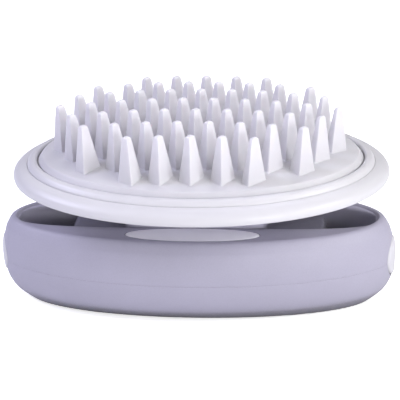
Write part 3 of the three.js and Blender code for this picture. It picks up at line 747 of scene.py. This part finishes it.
# ------------------------------------------------------------------ bristle pad
ROW_COUNTS = [5, 8, 9, 10, 9, 8, 5]  # bristles per row, front to back
PITCH_X, PITCH_Y = 7.5, 6.6  # between tips
BRISTLE_LENGTH = 11.1
# turn in degrees, width and depth of each front-row bristle
FRONT_ROW = [(60, 4.2, 4.1), (55, 5.1, 3.8), (54, 5.1, 3.8), (52, 4.8, 3.7), (42, 5.3, 2.7)]
BODY_SHARE = 0.94  # share of the length below the rounded tip
TIP_WIDTH = 0.4  # share of the root width where the tip starts
# half-depth, z
PAD_EDGE = [
    (PAD_LIP, PAD_TOP_Z - PAD_CROWN), (24.72, 38.32), (24.9, 38.15), (25.25, 37.7),
    (25.6, 37.25), (25.78, 36.9), (25.8, 36.25),
]  # fmt: skip


def pad_z(x, y):
    """Level of the pad's crowned top."""
    across = (x - HEAD_X) / (PAD_LIP + HEAD_STRETCH)
    return PAD_TOP_Z - PAD_CROWN * (across**2 + (y / PAD_LIP) ** 2)


def dome(half, top, drop, count):
    """Rings from near the middle out to the edge of a crowned oval."""
    return [
        oval((half + HEAD_STRETCH) * share, half * share, top - drop * share * share, mid_x=HEAD_X)
        for share in (np.arange(1, count + 1) / count)
    ]


def rounded_rect(width, depth, radius):
    """Points round a rectangle, evenly many to a corner and a side."""
    radius = min(radius, width * 0.49, depth * 0.49)
    arc = BRISTLE_POINTS // 4 - 2
    half_x, half_y = width / 2 - radius, depth / 2 - radius
    centres = np.array([(1, 1), (-1, 1), (-1, -1), (1, -1)]) * (half_x, half_y)
    points = []
    for i, centre in enumerate(centres):
        for k in range(arc):
            turn = (i + k / (arc - 1)) * pi / 2
            points.append(centre + (radius * cos(turn), radius * sin(turn)))
        # two points on the side to the next corner
        turn = (i + 1) * pi / 2
        out = np.array((radius * cos(turn), radius * sin(turn)))
        start, end = centre + out, centres[(i + 1) % 4] + out
        points += [start + (end - start) / 3, start + (end - start) * 2 / 3]
    return np.array(points)


def bristle(root, tip, width, depth, turn):
    """A tapered bristle that flares into the pad; root and tip are (x, y)."""
    (root_x, root_y), (tip_x, tip_y) = root, tip
    lean_x, lean_y = tip_x - root_x, tip_y - root_y
    rise = sqrt(BRISTLE_LENGTH**2 - lean_x * lean_x - lean_y * lean_y)
    root_z = pad_z(root_x, root_y)
    rings = []

    def section(share, section_width, section_depth, radius):
        points = rounded_rect(section_width, section_depth, radius)
        x = root_x + lean_x * share + points[:, 0] * cos(turn) - points[:, 1] * sin(turn)
        y = root_y + lean_y * share + points[:, 0] * sin(turn) + points[:, 1] * cos(turn)
        # low sections follow the crown of the pad
        follow = max(0.0, 1 - share / 0.45) ** 2
        z = root_z + rise * share + follow * (pad_z(x, y) - root_z)
        rings.append(np.stack([x, y, z], 1))

    # share of the length, share of the width, flare
    levels = [(-0.03, 1.0, 0.34)]
    for bend in (0.0, 0.35, 0.75, 1.15, 1.57):
        levels.append((0.03 * (1 - cos(bend)), 1.0, 0.3 * (1 - sin(bend))))
    for share in (0.1, 0.25, 0.4, 0.55, 0.7, 0.84, BODY_SHARE):
        levels.append((share, 1 - 0.6 * (share / BODY_SHARE) ** 1.05, 0.0))
    for share, size, flare in levels:
        radius = 0.3 * size + flare * 0.8
        section(share, width * size + 2 * flare, depth * size + 2 * flare, radius)
    for bend in (0.3, 0.6, 0.9, 1.2, 1.45):
        share = BODY_SHARE + (1 - BODY_SHARE) * sin(bend)
        size = 1 - 0.5 * (1 - cos(bend)) - 0.02
        radius = 0.16 + 0.3 * (1 - cos(bend))
        section(share, width * TIP_WIDTH * size, depth * TIP_WIDTH * size, radius)
    verts, faces = chain(rings)
    verts[-1][2] += 0.04  # the middle of the tip stands proud
    return verts, faces


def all_bristles():
    verts, faces, total = [], [], 0
    for row, count in enumerate(ROW_COUNTS):
        for i in range(count):
            x, y = (i - (count - 1) / 2) * PITCH_X, (row - 3) * PITCH_Y
            turn, width, depth = 45, 4.9, (3.65 if x < 28 else 2.7)
            if row == 0:
                turn, width, depth = FRONT_ROW[i]
            root = HEAD_X + x * 0.975, y * 0.97
            new_verts, new_faces = bristle(root, (HEAD_X + x, y), width, depth, radians(turn))
            verts.append(new_verts)
            faces += [tuple(k + total for k in face) for face in new_faces]
            total += len(new_verts)
    return mesh_object("bristles", np.concatenate(verts), faces)


def bristle_pad():
    rings = dome(PAD_LIP, PAD_TOP_Z, PAD_CROWN, 14)
    rings += head_rings(curve_points(PAD_EDGE, 4)[1:])
    rings += head_rings([(27.5, 36.2), (27.5, 35.6), (23.5, 35.6)])
    rings += dome(23.5, 39.3, 2.15, 5)[::-1]
    pad = solid(rings, "bristle_pad_skin")
    join(pad, all_bristles())
    clean(pad, 50)
    finish(pad, "handle", "bristle_pad")


# ------------------------------------------------------------------ battery cover
def battery_cover():
    rows = [
        (-3.0, 0.0), (-0.5, 0.0), (-0.3, 0.03), (-0.12, 0.12), (0, 0.32), (0, 1.35),
        (-0.12, 1.53), (-0.3, 1.6), (-3.0, 1.6),
    ]  # fmt: skip
    rings = grown_ovals(COVER_X, COVER_Y, rows, power=COVER_POWER, count=160)
    cover = solid(rings, "battery_cover_plate")
    for x in COVER_HOLES_X:
        cut(cover, rod_solid((x, 0, -1), (x, 0, 3), 1.05, count=32))
        cut(cover, countersink(x, 0, mouth_radius=2.6, mouth_z=0.02, radius=2.1, top=1.0))
    # two ribs on the upper face
    rib = [(15, 0.5, 1.3), (15, 0.5, 2.2), (14.85, 0.36, 2.35)]
    for y in (-5.5, 5.5):
        join(cover, solid([oval(*row, 8, 48, mid_y=y) for row in rib]))
    # shallow grip lines across the -X end of the underside
    line = [(0.42, 6.0, -0.4), (0.34, 5.9, 0.0), (0.16, 5.6, 0.35)]
    for x in (-22.5, -20.9, -19.3, -17.7, -16.1):
        cut(cover, solid([oval(*row, 4, 40, mid_x=x) for row in line]))
    clean(cover, 38)
    finish(cover, "cover", "battery_cover")


# ------------------------------------------------------------------ seals and wires
def battery_cover_seal():
    rings = []
    for turn in angles(12):
        grow, z = -0.87 + 0.4 * cos(turn), 1.925 + 0.26 * sin(turn)
        rings.append(oval(COVER_X + grow, COVER_Y + grow * 0.62, z, COVER_POWER, 128))
    finish(solid(rings, "battery_cover_cord", closed=True), "cover", "battery_cover_seal")


def handle_seal():
    """A cord along the parting line, with a gap at the button."""
    rows = [(17.12 + 0.36 * cos(turn), PART_Z + 0.58 * sin(turn)) for turn in angles(12)]
    cord = solid(handle_rings(rows), "handle_cord", closed=True)
    cut(cord, box(43.4, 50, -7, 7, 5, 20))
    clean(cord, 40)
    finish(cord, "handle", "handle_seal")


def revolve_x(name, outline, mid_z, count):
    """A closed outline of (x, radius) turned about the line y = 0, z = mid_z."""
    turn = angles(count)
    rings = [
        np.stack([np.full(count, x), radius * np.cos(turn), mid_z + radius * np.sin(turn)], 1)
        for x, radius in outline
    ]
    return solid(rings, name, closed=True)


def button_membrane():
    outline = [
        (43.35, 1.9), (43.1, 1.9), (43.1, 2.6), (43.1, 3.2), (43.12, 4.2), (43.6, 4.2),
        (43.58, 3.3), (43.35, 2.9), (43.58, 2.4), (43.6, 1.9),
    ]  # fmt: skip
    disc = revolve_x("button_membrane_disc", rounded_outline(outline, 0.08, 2), BUTTON_Z, 48)
    finish(disc, "handle", "button_membrane")


def motor_sleeve():
    outline = [(-4.2, 3.95), (-8.6, 3.95), (-8.6, 3.5), (0.2, 3.5), (0.2, 3.95)]
    tube = revolve_x("motor_sleeve_tube", rounded_outline(outline, 0.16, 3), MOTOR_Z, 64)
    finish(tube, "handle", "motor_sleeve")


def wire(node, points, radius=0.33):
    path = curve_points(points, 6)
    turn = angles(12)
    along = np.gradient(path, axis=0)
    along /= np.linalg.norm(along, axis=1)[:, None]
    side = np.cross(along[0], [0.1, 1.0, 0.2])
    rings = []
    for centre, ahead in zip(path, along):
        side = side - ahead * np.dot(side, ahead)
        side /= np.linalg.norm(side)
        other = np.cross(ahead, side)
        circle = np.cos(turn)[:, None] * side + np.sin(turn)[:, None] * other
        rings.append(centre + radius * circle)
    finish(solid(rings, node + "_wire"), "handle", node)


def leads():
    for i, y in ((1, -1.3), (2, 1.3)):
        points = [
            (-9.75, y, MOTOR_Z), (-10.5, y, 24.4), (-10.6, y, 20.5), (-9.4, y, 16.6),
            (-6.5, y, 15.35), (10, y * 1.6, 15.3), (25.4, y * 2.6, 15.2), (27.3, y * 2.7, 14.2),
            (28.6, y * 2.7, 12.4), (33, y * 2.0, 12.2), (38.9, y * 1.6, 11.6),
        ]  # fmt: skip
        wire(f"motor_lead_{i}", points)
    for i, y in ((1, -5.5), (2, 5.5)):
        points = [
            (24.8, y, 10.4), (27.2, y, 10.4), (29.6, y * 0.62, 10.0), (34, y * 0.35, 9.0),
            (38.9, y * 0.4, 8.6),
        ]  # fmt: skip
        wire(f"battery_lead_{i}", points)


handle_top()
handle_base()
power_button()
finish(end_cap("end_inlay_cap", -1, 0.25), "handle", "end_inlay")
shelf_inlay()
head_shell()
bezel_ring()
neck_gasket()
bristle_pad()
battery_cover()
battery_cover_seal()
handle_seal()
button_membrane()
motor_sleeve()
leads()


# ------------------------------------------------------------------ floor, light, camera
def floor_material():
    """Paler to the camera than the light it throws back, like a lit white sweep."""
    mat = material(
        "floor", colour=(0.93, 0.93, 0.935), rough=0.9, vary=0.004, vary_scale=3,
        rough_vary=0.03, rough_scale=5, bump=0.05, bump_scale=300, bump_depth=0.0002,
    )  # fmt: skip
    tree = mat.node_tree

    def with_glow(shader, colour, strength):
        inputs = {"Color": colour, "Strength": strength}
        glow = add_node(tree, "ShaderNodeEmission", inputs).outputs["Emission"]
        return add_node(tree, "ShaderNodeAddShader", {0: shader, 1: glow}).outputs["Shader"]

    surface = tree.nodes["Principled BSDF"].outputs["BSDF"]
    seen = with_glow(surface, colour=(1, 1, 1, 1), strength=0.62)
    dim = add_node(tree, "ShaderNodeBsdfDiffuse", {"Color": (0.78, 0.78, 0.8, 1)})
    thrown = with_glow(dim.outputs["BSDF"], colour=(0.95, 0.95, 1, 1), strength=0.12)
    to_camera = add_node(tree, "ShaderNodeLightPath").outputs["Is Camera Ray"]
    pick = add_node(tree, "ShaderNodeMixShader", {"Fac": to_camera, 1: thrown, 2: seen})
    tree.links.new(pick.outputs["Shader"], tree.nodes["Material Output"].inputs["Surface"])
    return mat


def add_floor():
    half, z = 6, -0.00004
    mat = floor_material()
    mesh = bpy.data.meshes.new("floor")
    corners = [(-half, -half, z), (half, -half, z), (half, half, z), (-half, half, z)]
    mesh.from_pydata(corners, [], [(0, 1, 2, 3)])
    mesh.materials.append(mat)
    link_object("floor", mesh)


def add_world():
    """A pale sky that brightens upward."""
    world = bpy.data.worlds.new("studio")
    bpy.context.scene.world = world
    world.use_nodes = True
    tree = world.node_tree
    sky = tree.nodes["Background"]
    coords = add_node(tree, "ShaderNodeTexCoord").outputs["Generated"]
    level = add_node(tree, "ShaderNodeSeparateXYZ", {"Vector": coords}).outputs["Z"]
    inputs = {"From Min": -0.05, "From Max": 0.85, "To Min": 0.12, "To Max": 0.62, "Value": level}
    ramp = add_node(tree, "ShaderNodeMapRange", inputs, interpolation_type="SMOOTHSTEP")
    tree.links.new(ramp.outputs["Result"], sky.inputs["Strength"])
    sky.inputs["Color"].default_value = (0.975, 0.97, 1.0, 1)


MIDDLE = (0, 0, 0.025)
# name, place, target, disc size, watts, colour
LIGHTS = [
    ("key", (0.6, -0.3, 0.4), MIDDLE, 0.3, 2.9, (1, 1, 1)),
    ("side", (-0.6, -0.05, 0.5), MIDDLE, 0.35, 3.2, (0.74, 0.74, 1.0)),
    ("back", (0.1, 0.5, 0.8), MIDDLE, 0.4, 1.2, (1, 1, 1)),
    ("front", (0.5, -0.88, 0.24), (0, 0, 0.02), 0.3, 4.2, (1, 1, 1)),
]


def add_lights():
    for name, place, target, size, watts, colour in LIGHTS:
        light = bpy.data.lights.new(name, "AREA")
        light.shape = "DISK"
        light.size = size
        light.energy = watts
        light.color = colour
        obj = link_object(name, light)
        obj.location = place
        aim = Vector(target) - Vector(place)
        obj.rotation_euler = aim.to_track_quat("-Z", "Y").to_euler()


CAMERA_TARGET = Vector((HEAD_X * MM, 0, 0.0524))
CAMERA_AZIMUTH = radians(6.53)  # from -Y towards +X
CAMERA_ELEVATION = radians(20.93)
CAMERA_DISTANCE = 0.577
CAMERA_ROLL = radians(-2.04)


def add_camera():
    data = bpy.data.cameras.new("camera")
    data.sensor_width = 36
    data.lens = 215.7
    data.shift_x = 0.0047
    data.shift_y = -0.2553
    data.clip_start = 0.01
    camera = bpy.data.objects.new("camera", data)
    level = cos(CAMERA_ELEVATION)
    x, y = sin(CAMERA_AZIMUTH) * level, -cos(CAMERA_AZIMUTH) * level
    offset = Vector((x, y, sin(CAMERA_ELEVATION))) * CAMERA_DISTANCE
    look = (-offset).to_track_quat("-Z", "Y").to_matrix().to_4x4()
    place = Matrix.Translation(CAMERA_TARGET + offset)
    camera.matrix_world = place @ look @ Matrix.Rotation(CAMERA_ROLL, 4, "Z")
    bpy.context.scene.collection.objects.link(camera)
    bpy.context.scene.camera = camera


add_floor()
add_world()
add_lights()
add_camera()
bpy.context.scene.view_settings.view_transform = "Standard"


bpy.context.view_layer.update()
